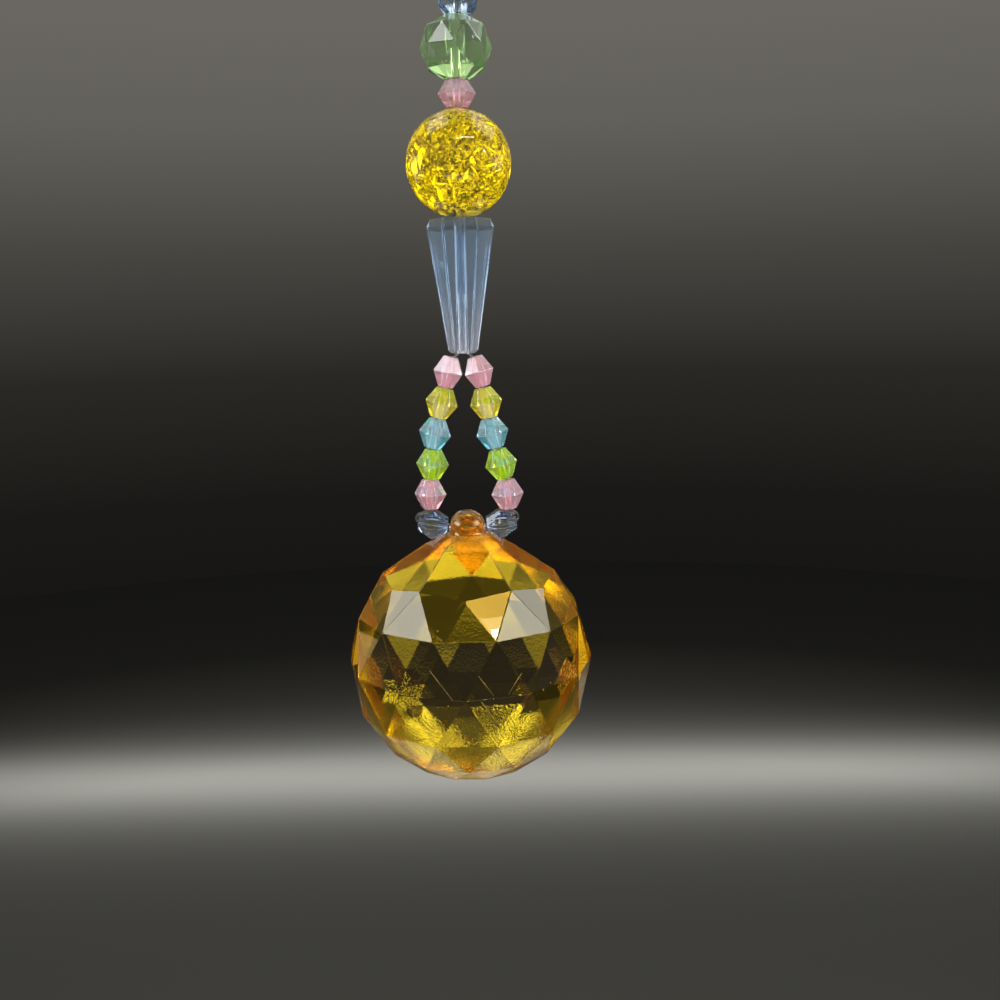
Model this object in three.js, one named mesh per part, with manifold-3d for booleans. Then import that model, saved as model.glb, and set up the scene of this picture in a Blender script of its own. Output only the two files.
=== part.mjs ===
// Crystal suncatcher: a faceted amber glass ball hung in a loop of small glass beads,
// with a tapered crystal, a crackle glass ball and three small beads strung above it.
// Millimetres, +Z up, -Y is the front. Heights are counted from the middle of the ball,
// and the last lines lower everything so that the origin lies in the top of the hanging loop.

import * as THREE from "three";
import { ConvexGeometry } from "three/addons/geometries/ConvexGeometry.js";
import { mergeVertices } from "three/addons/utils/BufferGeometryUtils.js";
import Module from "manifold-3d";

const wasm = await Module();
wasm.setup();

// ---- Driving dimensions ----

const BALL_RADIUS = 15;
const BALL_SIDES = 12; // facet corners in each full ring
const BALL_TURN = -1; // degrees about Z
const BALL_LATITUDES = [24.5, 0, -24.5, -45.2, -60]; // the full rings of corners, in degrees
const CROWN_CORNERS = { radius: 10.5, height: 10.95 }; // the outer corners of the crown facets
const CROWN_TIP_RADIUS = 10.25; // the point in the middle of each crown facet's lower edge
const SHOULDER_RING = { radius: 5.25, height: 14.45 }; // the hexagon above the crown facets
const FOOT_RING = { radius: 4, height: -13.95 }; // the flat hexagon that ends the ball below
const COLLAR_RING = { radius: 2.7, height: 15.75 }; // where the lug leaves the ball
const LUG = { radius: 2.3, domeHeight: 16.3, rootHeight: 14, sides: 24, domeSteps: 8 };
const LUG_HOLE = { diameter: 1.5, height: 16.9 };

const WIDE_BORE = 1.4; // through the larger beads
const NARROW_BORE = 0.95; // through the bicones
const BORE_SIDES = 12;

const STRAND_BICONE = { width: 3.95, length: 3.58, end: 2 };
const UPPER_BICONE = { width: 4.35, length: 3, end: 2.5, height: 66.34 };
const BICONE_SIDES = 6;

const TAPER = { top: 52.7, bottom: 37.4, width: 7.8, tip: 3.5, crown: 0.9, crownWidth: 7 };
const TAPER_SIDES = 6;
const TIP_CHAMFER = 0.35;
const CRACKLE = { radius: 6.03, height: 58.76, around: 30, poleToPole: 20 };
const GREEN = { width: 8.15, length: 6.68, height: 71.23, belt: 4.5, beltWidth: 6.7, flat: 2.9 };
const TOP_BEAD = { width: 4.6, length: 3.3, height: 76.3, belt: 1.9, beltWidth: 4.3, flat: 2.9 };
const TOP_BEAD_SHIFT = 0.35; // it sits a little to the right on the thread
const ROUND_BEAD_SIDES = 8;

const THREAD = 0.25;
const THREAD_SIDES = 8;
const TWIN_THREAD_OFFSET = 0.17; // the two runs of thread, either side of the axis
const THREAD_LAP = 0.1; // how far two runs of thread run into each other
const BORE_REACH = 0.36; // how far along a bicone, either way, its thread is held straight
const STRAND_STEPS = 30;
const TURN_STEPS = 14;
const LUG_RUN_STEPS = 12;
const KNOT = { radius: 0.6, height: 79.05, length: 1.5, sides: 12, arcSteps: 10 };
const LOOP = { top: 88.5, halfWidth: 2.4, steps: 36 };
// One side of the hanging loop, as shares of its half width and of its rise above the knot.
const LOOP_SIDE = [[0.05, 0], [0.21, 0.12], [0.75, 0.45], [1, 0.72], [0.7, 0.93]];

// The beads of each strand from the top: how far out from the axis and how high the middle
// is, how far the bead leans (its lower end outwards) and how far it is turned on the thread.
const STRANDS = {
  left: {
    side: -1,
    beads: [
      { glass: "pink", out: 1.8, height: 35.22, lean: 12, turn: 28 },
      { glass: "yellow", out: 2.7, height: 31.56, lean: 15, turn: 4 },
      { glass: "aqua", out: 3.6, height: 27.94, lean: 12, turn: -6 },
      { glass: "lime", out: 4.0, height: 24.26, lean: 5, turn: 0 },
      { glass: "pink", out: 4.37, height: 20.62, lean: 1, turn: -9 },
    ],
    turnPoints: [[4.37, 19.3], [4.4, 18.98], [4.62, 18.68], [5.1, 18.47], [5.6, 18.28]],
  },
  right: {
    side: 1,
    beads: [
      { glass: "pink", out: 1.8, height: 35.22, lean: 14, turn: 32 },
      { glass: "yellow", out: 2.55, height: 31.5, lean: 12, turn: -3 },
      { glass: "aqua", out: 3.25, height: 27.88, lean: 12, turn: 6 },
      { glass: "lime", out: 4.2, height: 24.14, lean: 13, turn: -5 },
      { glass: "pink", out: 4.92, height: 20.46, lean: 4, turn: 2 },
    ],
    turnPoints: [[4.99, 19.3], [5.06, 18.85], [5.26, 18.56], [5.62, 18.35]],
  },
};
// The last bead of each strand lies against the lug, almost in line with its hole.
const LAST_BEAD = { glass: "clear_blue", out: 4.15, height: 16.95, lean: 97, turn: 30 };
// Both strands leave the tapered bead and enter their last bead the same way.
const SPLIT_POINTS = [[TWIN_THREAD_OFFSET, 38.6], [0.42, 37.7], [0.62, 37.26], [1, 37.02]];
const ENTRY_POINTS = [[6.02, 18.04], [6.17, 17.62], [6.06, 17.28], [5.72, 17.15], [5, 17.05]];

// ---- Materials ----

const GLASS = {
  amber: 0xf2b01e,
  pink: 0xf3b6c6,
  yellow: 0xf0e26a,
  aqua: 0x8fd2e0,
  lime: 0xb9e04a,
  clear_blue: 0xc9dcf4,
  green: 0x6fc48a,
  golden: 0xf4d62a,
  thread: 0xf2f2ee,
};

function material(glass) {
  return new THREE.MeshStandardMaterial({ color: GLASS[glass], roughness: 0.05, metalness: 0 });
}

// ---- Solids ----

function solid(geometry) {
  const bare = geometry.clone();
  bare.deleteAttribute("normal");
  bare.deleteAttribute("uv");
  const merged = mergeVertices(bare);
  return new wasm.Manifold(
    new wasm.Mesh({
      numProp: 3,
      vertProperties: new Float32Array(merged.attributes.position.array),
      triVerts: new Uint32Array(merged.index.array),
    }),
  );
}

function meshOf(shape, name, glass) {
  const { vertProperties, triVerts } = shape.getMesh();
  const geometry = new THREE.BufferGeometry();
  geometry.setAttribute("position", new THREE.BufferAttribute(vertProperties, 3));
  geometry.setIndex(new THREE.BufferAttribute(triVerts, 1));
  geometry.computeVertexNormals();
  const mesh = new THREE.Mesh(geometry, material(glass));
  mesh.name = name;
  return mesh;
}

// Corners of a level ring, evenly spaced from a first angle that is given in degrees.
function ring(radius, height, sides, firstAngle = 0) {
  const corners = [];
  for (let k = 0; k < sides; k += 1) {
    const angle = THREE.MathUtils.degToRad(firstAngle + (k * 360) / sides);
    corners.push(new THREE.Vector3(radius * Math.cos(angle), radius * Math.sin(angle), height));
  }
  return corners;
}

function facetedSolid(rings) {
  return solid(new ConvexGeometry(rings.flat()));
}

// An upright bore, or a level one along X.
function bore(diameter, length, level = false) {
  const cylinder = new THREE.CylinderGeometry(diameter / 2, diameter / 2, length, BORE_SIDES);
  if (level) {
    cylinder.rotateZ(Math.PI / 2);
  } else {
    cylinder.rotateX(Math.PI / 2);
  }
  return solid(cylinder);
}

function drilled(body, diameter, length) {
  return body.subtract(bore(diameter, 2 * length));
}

function bicone({ width, length, end }) {
  const body = facetedSolid([
    ring(end / 2, length / 2, BICONE_SIDES),
    ring(width / 2, 0, BICONE_SIDES),
    ring(end / 2, -length / 2, BICONE_SIDES),
  ]);
  return drilled(body, NARROW_BORE, length);
}

// A rounded bead: flat ends, a belt of corners above and below, and a wider ring between them.
function roundBead({ width, length, belt, beltWidth, flat }) {
  const halfStep = 180 / ROUND_BEAD_SIDES;
  const body = facetedSolid([
    ring(flat / 2, length / 2, ROUND_BEAD_SIDES, halfStep),
    ring(beltWidth / 2, belt / 2, ROUND_BEAD_SIDES, halfStep),
    ring(width / 2, 0, ROUND_BEAD_SIDES),
    ring(beltWidth / 2, -belt / 2, ROUND_BEAD_SIDES, halfStep),
    ring(flat / 2, -length / 2, ROUND_BEAD_SIDES, halfStep),
  ]);
  return drilled(body, WIDE_BORE, length);
}

function taperedBead() {
  const body = facetedSolid([
    ring(TAPER.crownWidth / 2, TAPER.top, TAPER_SIDES),
    ring(TAPER.width / 2, TAPER.top - TAPER.crown, TAPER_SIDES),
    ring(TAPER.tip / 2, TAPER.bottom + TIP_CHAMFER, TAPER_SIDES),
    ring(TAPER.tip / 2 - TIP_CHAMFER, TAPER.bottom, TAPER_SIDES),
  ]);
  return drilled(body, WIDE_BORE, TAPER.top);
}

function crackleBead() {
  const sphere = new THREE.SphereGeometry(CRACKLE.radius, CRACKLE.around, CRACKLE.poleToPole);
  sphere.rotateX(Math.PI / 2);
  return drilled(solid(sphere), WIDE_BORE, CRACKLE.radius * 2);
}

function latitudeRing(latitude, sides, firstAngle) {
  const angle = THREE.MathUtils.degToRad(latitude);
  const radius = BALL_RADIUS * Math.cos(angle);
  return ring(radius, BALL_RADIUS * Math.sin(angle), sides, firstAngle);
}

// Each of the six large facets around the lug is flat and five-sided: it runs from one side of
// the shoulder hexagon to two outer corners, and to a tip between them at this height.
function crownTipHeight() {
  const halfAngle = Math.PI / (BALL_SIDES / 2);
  const inner = SHOULDER_RING.radius * Math.cos(halfAngle);
  const outer = CROWN_CORNERS.radius * Math.cos(halfAngle);
  const fall = (SHOULDER_RING.height - CROWN_CORNERS.height) / (outer - inner);
  return CROWN_CORNERS.height - fall * (CROWN_TIP_RADIUS - outer);
}

// Every second full ring is turned by half a step, so that triangles fill the bands.
function ballRings() {
  const step = 360 / BALL_SIDES;
  const half = BALL_SIDES / 2;
  const fullRings = BALL_LATITUDES.map((latitude, k) => {
    const turn = k % 2 === 0 ? BALL_TURN + step / 2 : BALL_TURN;
    return latitudeRing(latitude, BALL_SIDES, turn);
  });
  const hexagons = [CROWN_CORNERS, SHOULDER_RING, COLLAR_RING, FOOT_RING].map((corner) =>
    ring(corner.radius, corner.height, half, BALL_TURN),
  );
  const crownTips = ring(CROWN_TIP_RADIUS, crownTipHeight(), half, BALL_TURN + step);
  return [...fullRings, ...hexagons, crownTips];
}

function lug() {
  const dome = new THREE.Path();
  dome.moveTo(0, LUG.rootHeight);
  dome.lineTo(LUG.radius, LUG.rootHeight);
  dome.lineTo(LUG.radius, LUG.domeHeight);
  dome.absarc(0, LUG.domeHeight, LUG.radius, 0, Math.PI / 2, false);
  const turned = new THREE.LatheGeometry(dome.getPoints(LUG.domeSteps), LUG.sides);
  turned.rotateX(Math.PI / 2);
  return solid(turned);
}

function crystalBall() {
  const hole = bore(LUG_HOLE.diameter, LUG.radius * 4, true).translate(0, 0, LUG_HOLE.height);
  return facetedSolid(ballRings()).add(lug()).subtract(hole);
}

// ---- The thread ----

function threadAlong(points, steps) {
  const route = points.map(([x, z]) => new THREE.Vector3(x, 0, z));
  const path = new THREE.CatmullRomCurve3(route, false, "centripetal");
  const section = new THREE.Shape();
  ring(THREAD / 2, 0, THREAD_SIDES).forEach((corner, k) => {
    if (k === 0) {
      section.moveTo(corner.x, corner.y);
    } else {
      section.lineTo(corner.x, corner.y);
    }
  });
  section.closePath();
  return solid(new THREE.ExtrudeGeometry(section, { steps, extrudePath: path, bevelEnabled: false }));
}

// Two points of a bead's bore, a little inside its upper and its lower end.
function boreRun({ out, height, lean }) {
  const reach = STRAND_BICONE.length * BORE_REACH;
  const angle = THREE.MathUtils.degToRad(lean);
  const across = reach * Math.sin(angle);
  const down = reach * Math.cos(angle);
  return [[out - across, height + down], [out + across, height - down]];
}

function strandThread({ side, beads, turnPoints }) {
  const mirrored = ([out, height]) => [side * out, height];
  const down = [...SPLIT_POINTS, ...beads.flatMap(boreRun)];
  const turn = [...turnPoints, ...ENTRY_POINTS];
  const [[, splitHeight]] = SPLIT_POINTS;
  const upright = [[TWIN_THREAD_OFFSET, KNOT.height], [TWIN_THREAD_OFFSET, splitHeight - THREAD_LAP]];
  return threadAlong(upright.map(mirrored), 1)
    .add(threadAlong(down.map(mirrored), STRAND_STEPS))
    .add(threadAlong(turn.map(mirrored), TURN_STEPS));
}

function knot() {
  const profile = new THREE.Path();
  profile.absellipse(0, 0, KNOT.radius, KNOT.length / 2, -Math.PI / 2, Math.PI / 2, false);
  const turned = new THREE.LatheGeometry(profile.getPoints(KNOT.arcSteps), KNOT.sides);
  turned.rotateX(Math.PI / 2);
  return solid(turned).translate(0, 0, KNOT.height);
}

function hangingLoop() {
  const rise = LOOP.top + THREAD / 2 - KNOT.height;
  const side = LOOP_SIDE.map(([across, up]) => [LOOP.halfWidth * across, KNOT.height + rise * up]);
  const otherSide = side.map(([x, z]) => [-x, z]).reverse();
  return threadAlong([...side, [0, KNOT.height + rise], ...otherSide], LOOP.steps);
}

// From one side to the other, through both last beads and the hole of the lug.
function lugRun() {
  const [outerEnd, outerHeight] = ENTRY_POINTS.at(-1);
  const [, [innerEnd, innerHeight]] = boreRun(LAST_BEAD).sort((a, b) => b[0] - a[0]);
  const side = [[outerEnd + THREAD_LAP, outerHeight], [innerEnd, innerHeight]];
  const otherSide = side.map(([x, z]) => [-x, z]).reverse();
  return threadAlong([...side, ...otherSide], LUG_RUN_STEPS);
}

function thread() {
  return strandThread(STRANDS.left)
    .add(strandThread(STRANDS.right))
    .add(lugRun())
    .add(knot())
    .add(hangingLoop());
}

// ---- The suncatcher ----

function placed(mesh, height, shift = 0) {
  mesh.position.set(shift, 0, height);
  return mesh;
}

function strandBeads(sideName, { side, beads }) {
  return [...beads, LAST_BEAD].map(({ glass, out, height, lean, turn }, k) => {
    const bead = meshOf(bicone(STRAND_BICONE), `${sideName}_strand_bead_${k + 1}_${glass}`, glass);
    bead.position.set(side * out, 0, height);
    bead.rotation.order = "YXZ";
    bead.rotation.y = -side * THREE.MathUtils.degToRad(lean);
    bead.rotation.z = THREE.MathUtils.degToRad(turn);
    return bead;
  });
}

const strung = new THREE.Group();
strung.position.z = -LOOP.top;
strung.add(
  meshOf(thread(), "hanging_thread", "thread"),
  placed(meshOf(roundBead(TOP_BEAD), "clear_top_bead", "clear_blue"), TOP_BEAD.height, TOP_BEAD_SHIFT),
  placed(meshOf(roundBead(GREEN), "green_faceted_bead", "green"), GREEN.height),
  placed(meshOf(bicone(UPPER_BICONE), "pink_bicone_bead", "pink"), UPPER_BICONE.height),
  placed(meshOf(crackleBead(), "crackle_glass_bead", "golden"), CRACKLE.height),
  meshOf(taperedBead(), "tapered_crystal_bead", "clear_blue"),
  ...strandBeads("left", STRANDS.left),
  ...strandBeads("right", STRANDS.right),
  meshOf(crystalBall(), "crystal_ball", "amber"),
);

const suncatcher = new THREE.Group();
suncatcher.add(strung);

export default suncatcher;
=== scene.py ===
"""Crystal suncatcher: the finishes of the glass with their painted light, the crackle bead's fractures,
camera, light and stage.
"""

import math
import random

import bmesh
import bpy
from mathutils import Matrix, Vector, noise

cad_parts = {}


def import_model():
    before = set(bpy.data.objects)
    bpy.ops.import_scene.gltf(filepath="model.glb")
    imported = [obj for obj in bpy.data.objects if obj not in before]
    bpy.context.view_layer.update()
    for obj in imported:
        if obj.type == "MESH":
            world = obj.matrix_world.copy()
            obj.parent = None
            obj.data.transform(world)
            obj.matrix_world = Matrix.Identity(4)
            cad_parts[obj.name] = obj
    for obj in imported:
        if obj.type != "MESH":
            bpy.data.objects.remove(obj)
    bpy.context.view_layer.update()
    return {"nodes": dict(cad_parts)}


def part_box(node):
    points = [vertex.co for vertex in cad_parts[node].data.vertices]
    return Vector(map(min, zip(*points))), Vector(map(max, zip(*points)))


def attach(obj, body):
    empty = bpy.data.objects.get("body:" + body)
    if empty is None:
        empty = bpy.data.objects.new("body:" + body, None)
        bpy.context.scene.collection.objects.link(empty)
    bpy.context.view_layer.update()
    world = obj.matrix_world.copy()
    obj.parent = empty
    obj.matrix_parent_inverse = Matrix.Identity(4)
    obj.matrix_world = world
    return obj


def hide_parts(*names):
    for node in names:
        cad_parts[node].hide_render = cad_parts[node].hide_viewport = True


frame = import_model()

NODES = frame["nodes"]
MM = 0.001
UP = Vector((0, 0, 1))

# ---- Named sizes, in millimetres ----

BALL_BOTTOM = 13.95  # from the middle of the ball down to its foot
BALL_FACES = 14.6  # from the middle of the ball out to its facets, about
LUG_RADIUS = 2.3
LUG_FOOT = 15.45  # the middles of the lug's faces lie above this, over the middle of the ball
BALL_BEVEL = 0.08
BEAD_BEVEL = 0.05
SMALL_BORE = 0.475  # radius of the bicone beads' bores
LARGE_BORE = 0.7  # radius of the other beads' bores

ball_low, ball_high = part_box("crystal_ball")
BALL_MIDDLE = (ball_low + ball_high) / 2
BALL_MIDDLE.z = ball_low.z + BALL_BOTTOM * MM


# ---- Shader nodes ----


def put(shader, **sockets):
    """Sets a shader node's own sockets. An underscore stands for a space in a socket's name."""
    for key, value in sockets.items():
        shader.inputs[key.replace("_", " ")].default_value = value


def node(tree, kind, **sockets):
    made = tree.nodes.new(kind)
    put(made, **sockets)
    return made


def coordinates(tree, kind):
    return tree.nodes.new("ShaderNodeTexCoord").outputs[kind]


def axis_of(tree, vector, axis):
    split = tree.nodes.new("ShaderNodeSeparateXYZ")
    tree.links.new(vector, split.inputs[0])
    return split.outputs[axis]


def share_of(tree, value, low, high):
    """A value as a share of the way from low to high, from 0 to 1."""
    mapped = node(tree, "ShaderNodeMapRange", From_Min=low, From_Max=high)
    tree.links.new(value, mapped.inputs["Value"])
    return mapped.outputs["Result"]


def noise_of(tree, scale, detail=2.0, distortion=0.0):
    made = node(tree, "ShaderNodeTexNoise", Scale=scale, Detail=detail, Distortion=distortion)
    tree.links.new(coordinates(tree, "Object"), made.inputs["Vector"])
    return made.outputs["Fac"]


def bump(tree, height, strength, distance, before=None):
    made = node(tree, "ShaderNodeBump", Strength=strength, Distance=distance)
    tree.links.new(height, made.inputs["Height"])
    if before is not None:
        tree.links.new(before, made.inputs["Normal"])
    return made.outputs["Normal"]


def ramp(tree, value, stops):
    """A colour ramp. Each stop is a place and a colour, or a place and a grey."""
    made = tree.nodes.new("ShaderNodeValToRGB")
    tree.links.new(value, made.inputs["Fac"])
    elements = made.color_ramp.elements
    while len(elements) < len(stops):
        elements.new(0.5)
    for element, (place, shade) in zip(elements, stops):
        element.position = place
        element.color = (*shade, 1) if isinstance(shade, tuple) else (shade, shade, shade, 1)
    return made.outputs["Color"]


def mixed(tree, factor, a, b):
    """Two colours or colour sockets, mixed."""
    mix = tree.nodes.new("ShaderNodeMix")
    mix.data_type = "RGBA"
    tree.links.new(factor, mix.inputs["Factor"])
    for name, value in (("A", a), ("B", b)):
        socket = next(i for i in mix.inputs if i.name == name and i.type == "RGBA")
        if isinstance(value, tuple):
            socket.default_value = (*value, 1)
        else:
            tree.links.new(value, socket)
    return next(o for o in mix.outputs if o.type == "RGBA")


# ---- Materials ----


def new_material(name):
    mat = bpy.data.materials.new(name)
    mat.use_nodes = True
    tree = mat.node_tree
    return mat, tree, tree.nodes["Principled BSDF"], tree.nodes["Material Output"]


WAVE_DEPTH = 0.0001  # metres, before a material's own strength


def glass(
    name, colour, ior=1.52, roughness=0.0, transmission=1.0, metallic=0.0, absorb=None, waves=(900, 0.05)
):
    """Glass with faint waves in its surface. absorb is what each colour loses, per metre of glass."""
    mat, tree, shader, out = new_material(name)
    put(shader, Base_Color=(*colour, 1), Roughness=roughness, IOR=ior)
    put(shader, Transmission_Weight=transmission, Metallic=metallic)
    scale, strength = waves
    tree.links.new(bump(tree, noise_of(tree, scale), strength, WAVE_DEPTH), shader.inputs["Normal"])
    if absorb:
        most = max(absorb)
        left = [1 - loss / most for loss in absorb]
        volume = node(tree, "ShaderNodeVolumeAbsorption", Density=most, Color=(*left, 1))
        tree.links.new(volume.outputs["Volume"], out.inputs["Volume"])
    return mat


PAINTED_STREAK_PALENESS = 0.18  # how far the painted, paler streaking of refracted light in a coated bead goes towards white
PAINTED_REFLECTION_FACING = (-0.45, 0.55)  # the part of a facet's normal that points up, from all body colour to all painted reflection of the light above


def coated(name, below, above, tint):
    """Milky glass with a rainbow coating. Its facets are painted paler above than below, a painted
    reflection of the light from above mixed with the coating's painted sheen, with paler painted streaking
    of refracted light and a patchy painted sheen of another tint.
    """
    mat = glass(name, below, transmission=0.76, roughness=0.02, waves=(1500, 0.05))
    tree = mat.node_tree
    # Painted reflection: facets that face up are painted paler, as if lit from above.
    painted_reflection_share = share_of(tree, axis_of(tree, coordinates(tree, "Normal"), "Z"), *PAINTED_REFLECTION_FACING)
    # Painted streaking of refracted light, and a patchy painted sheen of the rainbow coating.
    painted_streaks = ramp(tree, noise_of(tree, 1500), [(0.4, 0.0), (0.66, 0.5)])
    painted_sheen_patches = ramp(tree, noise_of(tree, 620, detail=1.5, distortion=0.6), [(0.44, 0.0), (0.54, 0.95)])
    body = mixed(tree, painted_streaks, below, tuple(c * (1 - PAINTED_STREAK_PALENESS) + PAINTED_STREAK_PALENESS for c in below))
    top = mixed(tree, painted_sheen_patches, above, tint)
    tree.links.new(mixed(tree, painted_reflection_share, body, top), tree.nodes["Principled BSDF"].inputs["Base Color"])
    return mat


def painted_edge_highlight(name, colour):
    """The edges between the facets of a coated bead, painted a little paler than its facets as a painted
    highlight.
    """
    return glass(name, colour, roughness=0.1, transmission=0.8)


AMBER = (1.0, 0.95, 0.42)

MATS = {
    "amber": glass("amber_ball_glass", AMBER, absorb=(3, 13, 105), waves=(260, 0.012)),
    # Each coated glass: its body colour below, its paler painted reflection above, and its painted sheen
    # tint.
    "pink": coated("pink_coated_glass", (1.0, 0.54, 0.62), (1.0, 0.70, 0.74), (0.84, 0.76, 0.96)),
    "yellow": coated("yellow_coated_glass", (0.94, 0.76, 0.02), (0.97, 0.90, 0.22), (0.62, 0.84, 0.03)),
    "aqua": coated("aqua_coated_glass", (0.17, 0.60, 0.74), (0.34, 0.82, 0.78), (0.66, 0.78, 0.92)),
    "lime": coated("lime_coated_glass", (0.66, 0.90, 0.01), (0.44, 0.84, 0.46), (0.70, 0.92, 0.12)),
    "clear_blue": glass("clear_coated_glass", (0.86, 0.92, 1.0), absorb=(110, 70, 25), waves=(900, 0.04)),
    "green": glass("green_glass", (0.82, 0.96, 0.70), transmission=0.9, absorb=(70, 24, 112)),
    "taper": glass(
        "tapered_clear_glass", (0.68, 0.82, 1.0), transmission=0.9, absorb=(50, 26, 4), waves=(900, 0.03)
    ),
    "golden": glass(
        "golden_crackle_glass", (1.0, 0.90, 0.16), roughness=0.06, transmission=0.88,
        absorb=(3, 6, 240), waves=(300, 0.02),
    ),
    "fracture": glass(
        "fracture_face", (1.0, 0.93, 0.14), ior=1.5, roughness=0.3, transmission=0.45,
        metallic=0.05, waves=(2400, 0.35),
    ),
    "flaw": glass("hairline_flaw", (1.0, 0.92, 0.62), ior=1.4, roughness=0.3, transmission=0.3),
}

# Painted highlights on the softened edges of the coated beads.
EDGES = {
    "pink": painted_edge_highlight("pink_edge_painted_highlight", (1.0, 0.80, 0.84)),
    "yellow": painted_edge_highlight("yellow_edge_painted_highlight", (0.98, 0.93, 0.45)),
    "aqua": painted_edge_highlight("aqua_edge_painted_highlight", (0.62, 0.86, 0.88)),
    "lime": painted_edge_highlight("lime_edge_painted_highlight", (0.74, 0.93, 0.42)),
}

# Heights above the middle of the ball, in millimetres, between which its grain and its painted tint
# change.
GRAIN_FOOT = -14.0
GRAIN_COLLAR = 15.2
GRAIN_LUG = 18.6
GRAIN_SCALE = 3100
GRAIN_DEPTH = 0.00006  # metres


def ball_grain_and_painted_tint(mat):
    """Fine grain on the amber ball's lowest facets and its lug, and faintly on its crown. The crown and
    the lug are painted a deeper amber, which stands in for the colour that light takes on along long
    paths of internal reflection there."""
    tree = mat.node_tree
    shader = tree.nodes["Principled BSDF"]
    low, high = (BALL_MIDDLE.z + height * MM for height in (GRAIN_FOOT, GRAIN_LUG))
    share = share_of(tree, axis_of(tree, coordinates(tree, "Object"), "Z"), low, high)
    collar = (GRAIN_COLLAR - GRAIN_FOOT) / (GRAIN_LUG - GRAIN_FOOT)
    amounts = [
        (0, 0.9),
        (collar * 0.36, 0.8),
        (collar * 0.44, 0.0),
        (collar * 0.84, 0.0),
        (collar * 0.9, 0.2),
        (collar, 0.3),
        (collar + 0.02, 1.0),
    ]
    # Painted tint: a deeper amber on the crown and the lug, for light's long paths of internal reflection
    # there.
    painted_tints = [
        (0, AMBER),
        (collar * 0.84, AMBER),
        (collar * 0.93, (1, 0.88, 0.28)),
        (collar + 0.02, (1, 0.86, 0.22)),
        (collar + 0.05, (1, 0.58, 0.07)),
    ]
    grain = tree.nodes.new("ShaderNodeMath")
    grain.operation = "MULTIPLY"
    tree.links.new(noise_of(tree, GRAIN_SCALE), grain.inputs[0])
    tree.links.new(ramp(tree, share, amounts), grain.inputs[1])
    tree.links.new(ramp(tree, share, painted_tints), shader.inputs["Base Color"])
    waves = shader.inputs["Normal"].links[0].from_socket
    tree.links.new(bump(tree, grain.outputs["Value"], 1.0, GRAIN_DEPTH, waves), shader.inputs["Normal"])


def taper_painted_light(mat, low, high):
    """The clear tapered crystal's colour is painted paler towards its narrow lower end, as painted light,
    and yellowish at its top, a painted yellow reflection (heights in metres).
    """
    tree = mat.node_tree
    # Painted light: paler towards the narrow lower end (0), and a painted yellow reflection at the top
    # (1).
    painted_tints = [
        (0, (0.96, 0.94, 1.0)),
        (0.3, (0.8, 0.88, 1.0)),
        (0.6, (0.66, 0.82, 1.0)),
        (0.9, (0.66, 0.8, 0.96)),
        (1, (0.86, 0.88, 0.8)),
    ]
    share = share_of(tree, axis_of(tree, coordinates(tree, "Object"), "Z"), low, high)
    tree.links.new(ramp(tree, share, painted_tints), tree.nodes["Principled BSDF"].inputs["Base Color"])


def thread_material():
    mat, tree, shader, _ = new_material("nylon_thread")
    put(shader, Base_Color=(0.80, 0.81, 0.80, 1), Roughness=0.25, IOR=1.5, Transmission_Weight=0.8)
    tree.links.new(bump(tree, noise_of(tree, 9000, detail=3), 0.4, 0.00003), shader.inputs["Normal"])
    return mat


# ---- Cut glass ----

WELD_DISTANCE = 2e-6  # metres
SAME_FACET = math.radians(0.4)
FACET_EDGE = math.radians(4)


def welded(source):
    """The CAD node's faces, joined up and with each flat facet as one face."""
    bm = bmesh.new()
    bm.from_mesh(source.data)
    bmesh.ops.remove_doubles(bm, verts=bm.verts, dist=WELD_DISTANCE)
    bmesh.ops.dissolve_limit(bm, angle_limit=SAME_FACET, verts=bm.verts, edges=bm.edges)
    bm.normal_update()
    return bm


def finished(bm, name, material, replaced=()):
    mesh = bpy.data.meshes.new(name)
    bm.to_mesh(mesh)
    bm.free()
    mesh.materials.append(material)
    obj = bpy.data.objects.new(name, mesh)
    bpy.context.scene.collection.objects.link(obj)
    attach(obj, "root")
    if replaced:
        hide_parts(*replaced)
    return obj


def soften(bm, width, keep_round, edge_slot=-1):
    """Rounds the edges between facets. keep_round says which faces are parts of a curved wall."""
    for face in bm.faces:
        face.smooth = keep_round(face)
    edges = [
        edge
        for edge in bm.edges
        if len(edge.link_faces) == 2
        and edge.calc_face_angle(0) > FACET_EDGE
        and not all(face.smooth for face in edge.link_faces)
    ]
    bmesh.ops.bevel(
        bm, geom=edges, offset=width * MM, segments=2, profile=0.5, affect="EDGES",
        clamp_overlap=True, loop_slide=True, material=edge_slot,
    )


def bore_wall(axis_point, axis, radius):
    """A test for the faces of the bore's wall: they face its axis and lie within its radius."""

    def test(face):
        flat = face.normal - axis * face.normal.dot(axis)
        away = face.calc_center_median() - axis_point
        away -= axis * away.dot(axis)
        return flat.length > 0.9 and away.length < radius * MM * 1.05

    return test


def cut_bead(source, name, glass_name, axis, bore):
    """A faceted bead from its CAD node, with its edges softened and, if it is coated, painted paler as a
    highlight.
    """
    bm = welded(NODES[source])
    middle = sum((v.co for v in bm.verts), Vector()) / len(bm.verts)
    # A coated bead's softened edges get a paler material: a painted highlight.
    edge = EDGES.get(glass_name)
    soften(bm, BEAD_BEVEL, bore_wall(middle, axis, bore), edge_slot=1 if edge else -1)
    obj = finished(bm, name, MATS[glass_name], [source])
    if edge:
        obj.data.materials.append(edge)
    return obj


def bore_axis(source):
    """The direction of a bead's bore: its two ends are the faces with the most corners."""
    bm = welded(NODES[source])
    ends = sorted(bm.faces, key=lambda face: -len(face.verts))[:2]
    axis = (ends[0].calc_center_median() - ends[1].calc_center_median()).normalized()
    bm.free()
    return axis


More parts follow.
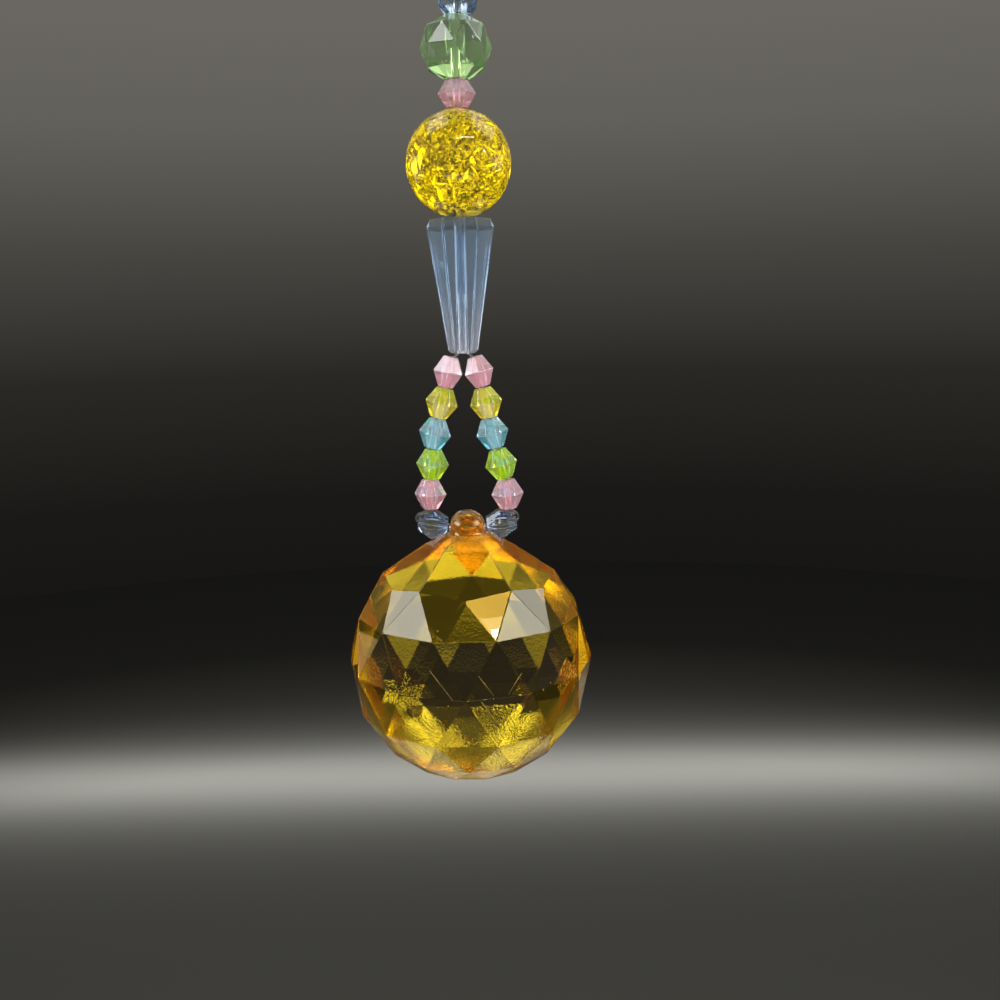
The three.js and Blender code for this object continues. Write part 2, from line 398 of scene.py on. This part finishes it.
def strand_beads():
    made = []
    for node_name in NODES:
        if "_strand_bead_" in node_name:
            side, _, _, count, glass_name = node_name.split("_", 4)
            name = f"{side}_bicone_{count}_{glass_name}"
            made.append(cut_bead(node_name, name, glass_name, bore_axis(node_name), SMALL_BORE))
    return made


def crystal_ball():
    ball_grain_and_painted_tint(MATS["amber"])
    bm = welded(NODES["crystal_ball"])

    def lug_face(face):
        centre = face.calc_center_median() - BALL_MIDDLE
        return math.hypot(centre.x, centre.y) < LUG_RADIUS * 1.01 * MM and centre.z > LUG_FOOT * MM

    soften(bm, BALL_BEVEL, lug_face)
    return finished(bm, "amber_crystal_ball", MATS["amber"], ["crystal_ball"])


def tapered_crystal():
    low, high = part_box("tapered_crystal_bead")
    taper_painted_light(MATS["taper"], low.z, high.z)
    return cut_bead("tapered_crystal_bead", "tapered_crystal", "taper", UP, LARGE_BORE)


# ---- Flaws in the ball ----

FLAW_DEPTH = 0.9  # millimetres below the surface, about
HAIRLINE_ENDS = (0.05, 0.03)  # radius at the start and at the end, in millimetres
# The start and the end of each hairline, and each bubble's place and radius in millimetres. A place
# is an azimuth, from the front and positive to the right, and an elevation, both in degrees.
HAIRLINES = (((-18, 12), (-7, -1)), ((5, 10), (12, 0)), ((6, -2), (16, -18)), ((26, 9), (19, 0)))
BUBBLES = ((-16, 30, 0.11), (-18, 27, 0.08), (42, 1, 0.09), (37, -1, 0.08), (-9, -4, 0.06))


def bearing(azimuth, elevation):
    """A direction: azimuth 0 is the front, positive to the right, 180 is behind."""
    a, e = math.radians(azimuth), math.radians(elevation)
    return Vector((math.sin(a) * math.cos(e), -math.cos(a) * math.cos(e), math.sin(e)))


def flaws():
    """The hairline marks and small bubbles just under the front facets, each a closed solid."""
    bm = bmesh.new()
    depth = (BALL_FACES - FLAW_DEPTH) * MM
    for ends in HAIRLINES:
        start, end = (BALL_MIDDLE + bearing(*place) * depth for place in ends)
        turn = (end - start).normalized().to_track_quat("Z", "Y").to_matrix().to_4x4()
        bmesh.ops.create_cone(
            bm, cap_ends=True, segments=6, radius1=HAIRLINE_ENDS[0] * MM, radius2=HAIRLINE_ENDS[1] * MM,
            depth=(end - start).length, matrix=Matrix.Translation((start + end) / 2) @ turn,
        )
    for azimuth, elevation, radius in BUBBLES:
        place = Matrix.Translation(BALL_MIDDLE + bearing(azimuth, elevation) * depth)
        bmesh.ops.create_uvsphere(bm, u_segments=16, v_segments=10, radius=radius * MM, matrix=place)
    for face in bm.faces:
        face.smooth = len(face.verts) < 6
    return finished(bm, "hairlines_and_bubbles", MATS["flaw"])


# ---- Crackle bead, in millimetres from its middle ----

CRACKLE_RADIUS = 6.03
CRACKLE_BORE = 0.7
SHELL_RINGS = 72
SHELL_STEPS = 96
BORE_RINGS = 12
SHELL_RIPPLE = 0.004  # share of the radius

CRACK_SEED = 11
CELLS = 380  # into which the glass has cracked
CELL_REACH = 6  # their seeds lie within this radius
CELL_SIZE = 2  # no wall between two cells is wider than twice this
NEIGHBOUR = 2.7  # cells further apart share no wall
SPARSE_CELLS = (2.2, 0.45)  # above this height, this share of the seeds is kept

SHEET_SHARE = 0.24  # of the walls that are open cracks
SPARSE_SHEETS = (1.0, 0.18)  # from this height up, the share is this
SHEET_TRIM = (0.8, 0.96)  # a sheet reaches this share of the way to its wall's corners
SHEET_BEND = 0.09
SHEET_RIPPLE = 0.22
SHEET_RINGS = 2
SHEET_THICKNESS = 0.03
RIM_THINNING = 0.6
LEAST_SHEET = 0.3  # a sheet that reaches less far than this is left out
SHELL_GAP = 0.28  # sheets stay this far inside the shell
BORE_GAP = 0.2  # and this far outside the bore

FLAKES = 9500
FLAKE_SIZES = (0.12, 0.38)
FLAKE_REACH = 5.6
FLAKE_SHELL_GAP = 0.45
FLAKE_BORE_GAP = 0.5
SPARSE_FLAKES = (1.5, 0.4)  # above this height, this share of the flakes is kept
FLAKE_HALF_THICKNESS = 0.02
FLAKE_CROWN = 0.12  # share of the size by which a flake's middle stands out


def crackle_middle():
    low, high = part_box("crackle_glass_bead")
    return (low + high) / 2


def crackle_shell(middle):
    """The smooth outside of the crackle bead with its bore."""
    bm = bmesh.new()
    end = math.acos(CRACKLE_BORE / CRACKLE_RADIUS)
    angles = [end - 2 * end * k / SHELL_RINGS for k in range(SHELL_RINGS + 1)]
    profile = [(CRACKLE_RADIUS * math.cos(t), CRACKLE_RADIUS * math.sin(t)) for t in angles]
    edge = CRACKLE_RADIUS * math.sin(end)
    profile += [(CRACKLE_BORE, -edge + 2 * edge * k / BORE_RINGS) for k in range(1, BORE_RINGS)]
    loops = []
    for radius, height in profile:
        loop = []
        for k in range(SHELL_STEPS):
            a = 2 * math.pi * k / SHELL_STEPS
            p = Vector((radius * math.cos(a), radius * math.sin(a), height))
            p *= 1 - SHELL_RIPPLE * (0.5 + 0.5 * noise.noise(p * 0.45))
            loop.append(bm.verts.new(middle + p * MM))
        loops.append(loop)
    for i, loop in enumerate(loops):
        following = loops[(i + 1) % len(loops)]
        for k in range(SHELL_STEPS):
            n = (k + 1) % SHELL_STEPS
            bm.faces.new((loop[k], following[k], following[n], loop[n])).smooth = True
    for loop in (loops[0], loops[SHELL_RINGS]):
        for k in range(SHELL_STEPS):
            bm.edges.get((loop[k], loop[(k + 1) % SHELL_STEPS])).smooth = False
    bmesh.ops.recalc_face_normals(bm, faces=bm.faces)
    return finished(bm, "golden_crackle_bead", MATS["golden"], ["crackle_glass_bead"])


def clipped(polygon, point, normal):
    """The part of a polygon behind a plane."""
    kept = []
    for a, b in zip(polygon, polygon[1:] + polygon[:1]):
        da, db = (a - point).dot(normal), (b - point).dot(normal)
        if da <= 0:
            kept.append(a)
        if (da < 0) != (db < 0) and abs(da - db) > 1e-9:
            kept.append(a + (b - a) * (da / (da - db)))
    return kept


def cell_seeds(rng):
    """The middles of the cells, fewer of them near the top."""
    sparse_from, kept = SPARSE_CELLS
    seeds = []
    while len(seeds) < CELLS:
        p = Vector([rng.uniform(-CELL_REACH, CELL_REACH) for _ in range(3)])
        if p.length < CELL_REACH and (p.z < sparse_from or rng.random() < kept):
            seeds.append(p)
    return seeds


def crack_walls(seeds):
    """The walls between the cells into which the glass has cracked, as polygons."""
    walls = []
    for i, a in enumerate(seeds):
        for j in range(i + 1, len(seeds)):
            b = seeds[j]
            if (a - b).length > NEIGHBOUR:
                continue
            point, normal = (a + b) / 2, (b - a).normalized()
            side = normal.orthogonal().normalized() * CELL_SIZE
            other = normal.cross(side)
            polygon = [point + side * x + other * y for x, y in ((-1, -1), (1, -1), (1, 1), (-1, 1))]
            for k, c in enumerate(seeds):
                if k not in (i, j) and polygon:
                    polygon = clipped(polygon, (a + c) / 2, (c - a).normalized())
            if len(polygon) > 2:
                walls.append((polygon, normal))
    return walls


def sheet_point(centre, normal, bend, arm):
    """A point of a curved sheet, kept inside the shell and outside the bore."""
    p = centre + arm
    ripple = noise.noise(p * 1.3 + normal * 7) * SHEET_RIPPLE
    p = p + normal * (ripple + bend * arm.length_squared)
    most, least = CRACKLE_RADIUS - SHELL_GAP, CRACKLE_BORE + BORE_GAP
    if p.length > most:
        p *= most / p.length
    across = Vector((p.x, p.y, 0))
    if across.length < least:
        push = across.normalized() if across.length > 1e-6 else Vector((1, 0, 0))
        p += push * (least - across.length)
    return p


def add_sheet(bm, middle, centre, normal, arms, bend):
    """A thin closed sheet: two skins of rings round a hub, thinner and joined at their rim."""
    skins = []
    for lift in (0.5, -0.5):
        offset = normal * SHEET_THICKNESS * lift
        hub = bm.verts.new(middle + (sheet_point(centre, normal, bend, Vector()) + offset) * MM)
        rings = []
        for step in range(1, SHEET_RINGS + 1):
            half = offset if step < SHEET_RINGS else offset * RIM_THINNING
            points = [sheet_point(centre, normal, bend, arm * (step / SHEET_RINGS)) for arm in arms]
            rings.append([bm.verts.new(middle + (p + half) * MM) for p in points])
        skins.append((hub, rings))
    sides = [(k, (k + 1) % len(arms)) for k in range(len(arms))]
    for order, (hub, rings) in zip((1, -1), skins):
        for k, n in sides:
            faces = [(hub, rings[0][k], rings[0][n])]
            for inner, outer in zip(rings, rings[1:]):
                faces.append((inner[k], outer[k], outer[n], inner[n]))
            for corners in faces:
                bm.faces.new(corners[::order]).smooth = True
    (_, upper), (_, lower) = skins
    for k, n in sides:
        bm.faces.new((upper[-1][k], lower[-1][k], lower[-1][n], upper[-1][n]))


def flake_fits(rng, place):
    """Whether a flake may lie here: inside the shell and outside the bore, and less often near the top."""
    if math.hypot(place.x, place.y) <= CRACKLE_BORE + FLAKE_BORE_GAP:
        return False
    if place.length >= CRACKLE_RADIUS - FLAKE_SHELL_GAP:
        return False
    sparse_from, kept = SPARSE_FLAKES
    return place.z <= sparse_from or rng.random() <= kept


def add_flake(bm, rng, middle, place):
    """A small closed flake: four to six corners round two hubs."""
    normal = Vector([rng.gauss(0, 1) for _ in range(3)]).normalized()
    side = normal.orthogonal().normalized()
    other = normal.cross(side)
    size = rng.uniform(*FLAKE_SIZES)
    count = rng.choice((4, 5, 6))
    rim = []
    for k in range(count):
        a = 2 * math.pi * (k + rng.uniform(-0.3, 0.3)) / count
        arm = (side * math.cos(a) + other * math.sin(a)) * size * rng.uniform(0.6, 1)
        rim.append(bm.verts.new(middle + (place + arm) * MM))
    for order in (1, -1):
        crown = normal * (FLAKE_HALF_THICKNESS * order + size * FLAKE_CROWN)
        hub = bm.verts.new(middle + (place + crown) * MM)
        for k in range(count):
            bm.faces.new((hub, rim[k], rim[(k + 1) % count])[::order]).smooth = True


def cracks(middle):
    """The fractures inside: thin curved sheets along some of the cells' walls, and flakes between them."""
    rng = random.Random(CRACK_SEED)
    sparse_from, sparse_share = SPARSE_SHEETS
    bm = bmesh.new()
    for polygon, normal in crack_walls(cell_seeds(rng)):
        centre = sum(polygon, Vector()) / len(polygon)
        if rng.random() > (SHEET_SHARE if centre.z < sparse_from else sparse_share):
            continue
        arms = [(p - centre) * rng.uniform(*SHEET_TRIM) for p in polygon]
        bend = rng.uniform(-SHEET_BEND, SHEET_BEND)
        if max(arm.length for arm in arms) >= LEAST_SHEET:
            add_sheet(bm, middle, centre, normal, arms, bend)
    made = 0
    while made < FLAKES:
        place = Vector([rng.uniform(-FLAKE_REACH, FLAKE_REACH) for _ in range(3)])
        if flake_fits(rng, place):
            add_flake(bm, rng, middle, place)
            made += 1
    bmesh.ops.recalc_face_normals(bm, faces=bm.faces)
    return finished(bm, "crackle_fractures", MATS["fracture"])


# ---- The pieces ----

ball = crystal_ball()
flaws()
beads = strand_beads()
beads.append(cut_bead("pink_bicone_bead", "upper_pink_bicone", "pink", UP, SMALL_BORE))
green_bead = cut_bead("green_faceted_bead", "green_cut_bead", "green", UP, LARGE_BORE)
beads.append(cut_bead("clear_top_bead", "clear_cut_bead", "clear_blue", UP, LARGE_BORE))
taper = tapered_crystal()
shell = crackle_shell(crackle_middle())
fractures = cracks(crackle_middle())
NODES["hanging_thread"].data.materials[0] = thread_material()


# ---- Stage ----

FLOOR_DEPTH = 0.95  # metres below the hook
FLOOR_RADIUS = 3.4
FLOOR_PALE = (0.31, 0.308, 0.278)
# Painted shade: greys by distance from the middle, as a share of the radius, darker far out where the
# floor falls out of the light.
FLOOR_PAINTED_SHADE = [
    (0, FLOOR_PALE),
    (0.56, FLOOR_PALE),
    (0.66, (0.14, 0.137, 0.12)),
    (0.76, (0.04, 0.039, 0.033)),
    (1, (0.015, 0.015, 0.012)),
]


def floor_material():
    """Pale near the ornament, and painted dark far behind it, a painted shade that stands in for the floor
    falling out of the light into the dark of the backdrop.
    """
    mat, tree, shader, _ = new_material("pale_floor")
    away = tree.nodes.new("ShaderNodeVectorMath")
    away.operation = "LENGTH"
    tree.links.new(coordinates(tree, "Object"), away.inputs[0])
    share = share_of(tree, away.outputs["Value"], 0, FLOOR_RADIUS)
    # Painted shade: the floor's colour darkens with distance from its middle.
    tree.links.new(ramp(tree, share, FLOOR_PAINTED_SHADE), shader.inputs["Base Color"])
    put(shader, Roughness=0.9)
    return mat


def stage_floor():
    bm = bmesh.new()
    bmesh.ops.create_circle(bm, cap_ends=True, segments=96, radius=FLOOR_RADIUS)
    mesh = bpy.data.meshes.new("stage_floor")
    bm.to_mesh(mesh)
    bm.free()
    mesh.materials.append(floor_material())
    made = bpy.data.objects.new("stage_floor", mesh)
    made.location.z = -FLOOR_DEPTH
    bpy.context.scene.collection.objects.link(made)
    return made


# Greys by height, from straight down to straight up.
BACKDROP = [
    (0, 0.012),
    (0.354, 0.0075),
    (0.407, 0.01),
    (0.461, 0.022),
    (0.514, 0.061),
    (0.565, 0.118),
    (0.611, 0.14),
    (1, 0.1),
]
BACKDROP_TINT = (1.03, 0.98, 0.86)
ROOM = [
    (0, 0.12),
    (0.35, 0.22),
    (0.46, 0.16),
    (0.54, 0.15),
    (0.62, 0.2),
    (0.75, 0.2),
    (0.88, 0.06),
    (1, 0.04),
]


def world():
    """A dark backdrop behind the ornament, and a pale room in front of it and at its sides."""
    studio = bpy.data.worlds.new("studio")
    bpy.context.scene.world = studio
    studio.use_nodes = True
    tree = studio.node_tree
    towards = coordinates(tree, "Generated")
    height = share_of(tree, axis_of(tree, towards, "Z"), -1, 1)
    behind = ramp(tree, share_of(tree, axis_of(tree, towards, "Y"), -1, 1), [(0.5, 0), (0.76, 1)])
    backdrop = [(place, tuple(grey * c for c in BACKDROP_TINT)) for place, grey in BACKDROP]
    shades = mixed(tree, behind, ramp(tree, height, ROOM), ramp(tree, height, backdrop))
    tree.links.new(shades, tree.nodes["Background"].inputs["Color"])


# ---- Light ----

WHITE = (1, 1, 1)
WINDOW_LIGHT = (1, 0.97, 0.82)
LAMP_LIGHT = (1, 0.6, 0.09)
LAMP_MIDDLE_LIGHT = (1, 0.85, 0.4)
AMBER_LIGHT = (1, 0.96, 0.14)
RIM_LIGHT = (1, 0.7, 0.3)


def softbox(name, place, size, radiance, colour, reach, target):
    """A soft lamp. Its place is an azimuth, an elevation and a distance in metres from its target."""
    azimuth, elevation, distance = place
    width, height = size
    light = bpy.data.lights.new(name, "AREA")
    light.shape = "RECTANGLE"
    light.size = width
    light.size_y = height
    light.energy = radiance * math.pi * width * height
    light.color = colour
    obj = bpy.data.objects.new(name, light)
    away = bearing(azimuth, elevation)
    obj.location = target + away * distance
    obj.rotation_euler = away.to_track_quat("Z", "Y").to_euler()
    obj.visible_camera = False
    obj.light_linking.receiver_collection = reach
    bpy.context.scene.collection.objects.link(obj)
    return obj


def softboxes(target, rows):
    """Several lamps with one target. A row is a name, place, size, radiance, colour and reach."""
    for row in rows:
        softbox(*row, target)


def group_of(name, objects, state):
    """A group for linking light: of these objects (INCLUDE), or of all but these (EXCLUDE)."""
    group = bpy.data.collections.new(name)
    for obj in objects:
        group.objects.link(obj)
    for member in group.collection_objects:
        member.light_linking.link_state = state
    return group


floor = stage_floor()
clear_beads = [bead for bead in beads if "clear" in bead.name]
coated_beads = [bead for bead in beads if "clear" not in bead.name]
ON_BALL = group_of("ball_only", [ball], "INCLUDE")
ON_COATED = group_of("coated_only", coated_beads, "INCLUDE")
ON_CLEAR = group_of("clear_only", clear_beads, "INCLUDE")
ON_TALL = group_of("green_and_taper", [green_bead, taper], "INCLUDE")
ON_FRACTURES = group_of("fractures_only", [fractures], "INCLUDE")
PAST_SHELL = group_of("past_the_shell", [shell], "EXCLUDE")
ON_CRACKLE = group_of("crackle_only", [shell, fractures], "INCLUDE")
ON_FLOOR = group_of("floor_only", [floor], "INCLUDE")
OFF_FLOOR = group_of("not_floor", [floor], "EXCLUDE")
ON_STRAND = group_of("not_ball_or_floor", [floor, ball], "EXCLUDE")

# The room's own lamps, then the windows, lamps and panels that show in the ball's facets.
softboxes(BALL_MIDDLE, (
    ("overhead_left", (-118, 64, 0.5), (0.3, 0.26), 1.7, WHITE, OFF_FLOOR),
    ("overhead_right", (112, 56, 0.5), (0.3, 0.26), 1.5, WHITE, OFF_FLOOR),
    ("rear_top", (180, 52, 0.6), (0.4, 0.3), 0.9, WHITE, OFF_FLOOR),
    ("right_low", (95, 8, 0.5), (0.3, 0.2), 0.9, WHITE, ON_STRAND),
    ("left_low", (-105, 3, 0.5), (0.3, 0.3), 0.7, WHITE, ON_STRAND),
    ("front_table", (0, -25, 0.5), (0.6, 0.12), 0.6, WHITE, OFF_FLOOR),
    ("left_window", (-80, 30, 0.5), (0.36, 0.18), 8.0, WINDOW_LIGHT, ON_BALL),
    ("left_rear_window", (-125, 28, 0.5), (0.14, 0.11), 4.2, WINDOW_LIGHT, ON_BALL),
    ("right_window", (74, 31, 0.5), (0.38, 0.18), 8.0, WINDOW_LIGHT, ON_BALL),
    ("right_rear_window", (119, 31, 0.5), (0.14, 0.12), 4.2, WINDOW_LIGHT, ON_BALL),
    ("warm_lamp", (9, 64, 0.45), (0.1, 0.1), 14, LAMP_LIGHT, ON_BALL),
    ("warm_lamp_middle", (10, 60.6, 0.44), (0.03, 0.012), 6, LAMP_MIDDLE_LIGHT, ON_BALL),
    ("small_lamp", (10.2, 60.2, 0.43), (0.006, 0.006), 40, WHITE, ON_BALL),
    ("rear_left_panel", (165, 8, 1.5), (0.16, 0.18), 2.1, WHITE, ON_BALL),
    ("rear_right_panel", (-167, 7, 1.5), (0.22, 0.2), 2.1, WHITE, ON_BALL),
    ("rear_middle_panel", (175, 11, 1.5), (0.1, 0.1), 2.3, WHITE, ON_BALL),
    ("rim_left_panel", (122, -16, 1.0), (0.3, 0.2), 0.9, RIM_LIGHT, ON_BALL),
    ("rim_right_panel", (-126, -10, 1.0), (0.34, 0.22), 1.3, RIM_LIGHT, ON_BALL),
    ("rear_spark", (-174, 0, 1.5), (0.05, 0.05), 3.0, WHITE, ON_BALL),
    ("rear_low_left", (157, -6, 1.5), (0.08, 0.06), 2.0, WHITE, ON_BALL),
    ("rear_high_left", (160, 25, 1.0), (0.3, 0.16), 1.75, WHITE, ON_BALL),
    ("rear_high_right", (-160, 24, 1.0), (0.3, 0.16), 1.75, WHITE, ON_BALL),
))

# The strand's own windows. They are narrower for the clear beads, which look milky in wide ones.
WINDOW_HEIGHT = 0.34
WINDOW_RADIANCE = 7.5
STRAND_HEIGHT = 45  # millimetres from the middle of the ball up to about the middle of the beads
bead_middle = BALL_MIDDLE + UP * (STRAND_HEIGHT * MM)
for reach, width in ((ON_COATED, 0.34), (ON_TALL, 0.34), (ON_CLEAR, 0.09)):
    size = (width, WINDOW_HEIGHT)
    softbox("left_soft_window", (-72, 30, 0.5), size, WINDOW_RADIANCE, WHITE, reach, bead_middle)
    softbox("right_soft_window", (70, 30, 0.5), size, WINDOW_RADIANCE, WHITE, reach, bead_middle)
softboxes(bead_middle, (
    ("beads_overhead", (0, 82, 0.5), (0.5, 0.4), 3.0, WHITE, ON_COATED),
    ("beads_below", (0, -40, 0.5), (0.6, 0.4), 2.8, WHITE, ON_COATED),
))

softboxes(crackle_middle(), (
    ("lamp_tube", (20, 50, 0.5), (0.34, 0.018), 16, WHITE, ON_CRACKLE),
    ("glint_lamp", (62, 20, 0.5), (0.05, 0.05), 16, WHITE, ON_CRACKLE),
))

# Small lamps close round the crackle bead light its fractures as if its shell cast no shadow.
GLOW_DISTANCE = 0.06
GLOW_SIZE = (0.044, 0.044)
GLOWS = ((-118, 5, 9), (118, 0, 13), (-58, -12, 11), (58, -12, 12), (0, 80, 12), (0, -70, 14))
for azimuth, elevation, radiance in GLOWS:
    place = (azimuth, elevation, GLOW_DISTANCE)
    lamp = softbox("crackle_lamp", place, GLOW_SIZE, radiance, AMBER_LIGHT, ON_FRACTURES, crackle_middle())
    lamp.light_linking.blocker_collection = PAST_SHELL

# The floor is lit below and in front of the ornament, and in a soft band across it far behind.
for name, behind, above, size, radiance in (
    ("floor_wash_rear", 0.46, 0.1, (1.3, 0.5), 3.1),
    ("floor_wash_front", -1.1, 0.1, (2.4, 1.7), 0.45),
    ("floor_band", 1.8, 0.13, (2.3, 0.14), 2.25),
):
    spot = Vector((0, behind, -FLOOR_DEPTH))
    softbox(name, (0, 90, above), size, radiance, WHITE, ON_FLOOR, spot)
world()


# ---- Camera ----

CAMERA_LENS = 39.6
CAMERA_SENSOR = 36
CAMERA_PLACE = Vector((4.0, -130.2, 45.5))  # millimetres from the middle of the ball
CAMERA_PITCH = 11.21  # degrees down from level
CAMERA_ROLL = 1.08


def camera():
    data = bpy.data.cameras.new("camera")
    data.lens = CAMERA_LENS
    data.sensor_width = CAMERA_SENSOR
    data.clip_start = 0.01
    data.clip_end = 10
    pitch, roll = math.radians(CAMERA_PITCH), math.radians(CAMERA_ROLL)
    look = Vector((0, math.cos(pitch), -math.sin(pitch)))
    level = Vector((1, 0, 0))
    rise = Vector((0, math.sin(pitch), math.cos(pitch)))
    right = level * math.cos(roll) - rise * math.sin(roll)
    up = rise * math.cos(roll) + level * math.sin(roll)
    turn = Matrix((right, up, -look)).transposed().to_4x4()
    made = bpy.data.objects.new("camera", data)
    made.matrix_world = Matrix.Translation(BALL_MIDDLE + CAMERA_PLACE * MM) @ turn
    bpy.context.scene.collection.objects.link(made)
    bpy.context.scene.camera = made


camera()

scene = bpy.context.scene
scene.view_settings.view_transform = "Standard"
scene.cycles.max_bounces = 32
scene.cycles.transmission_bounces = 32
scene.cycles.glossy_bounces = 12
scene.cycles.transparent_max_bounces = 16
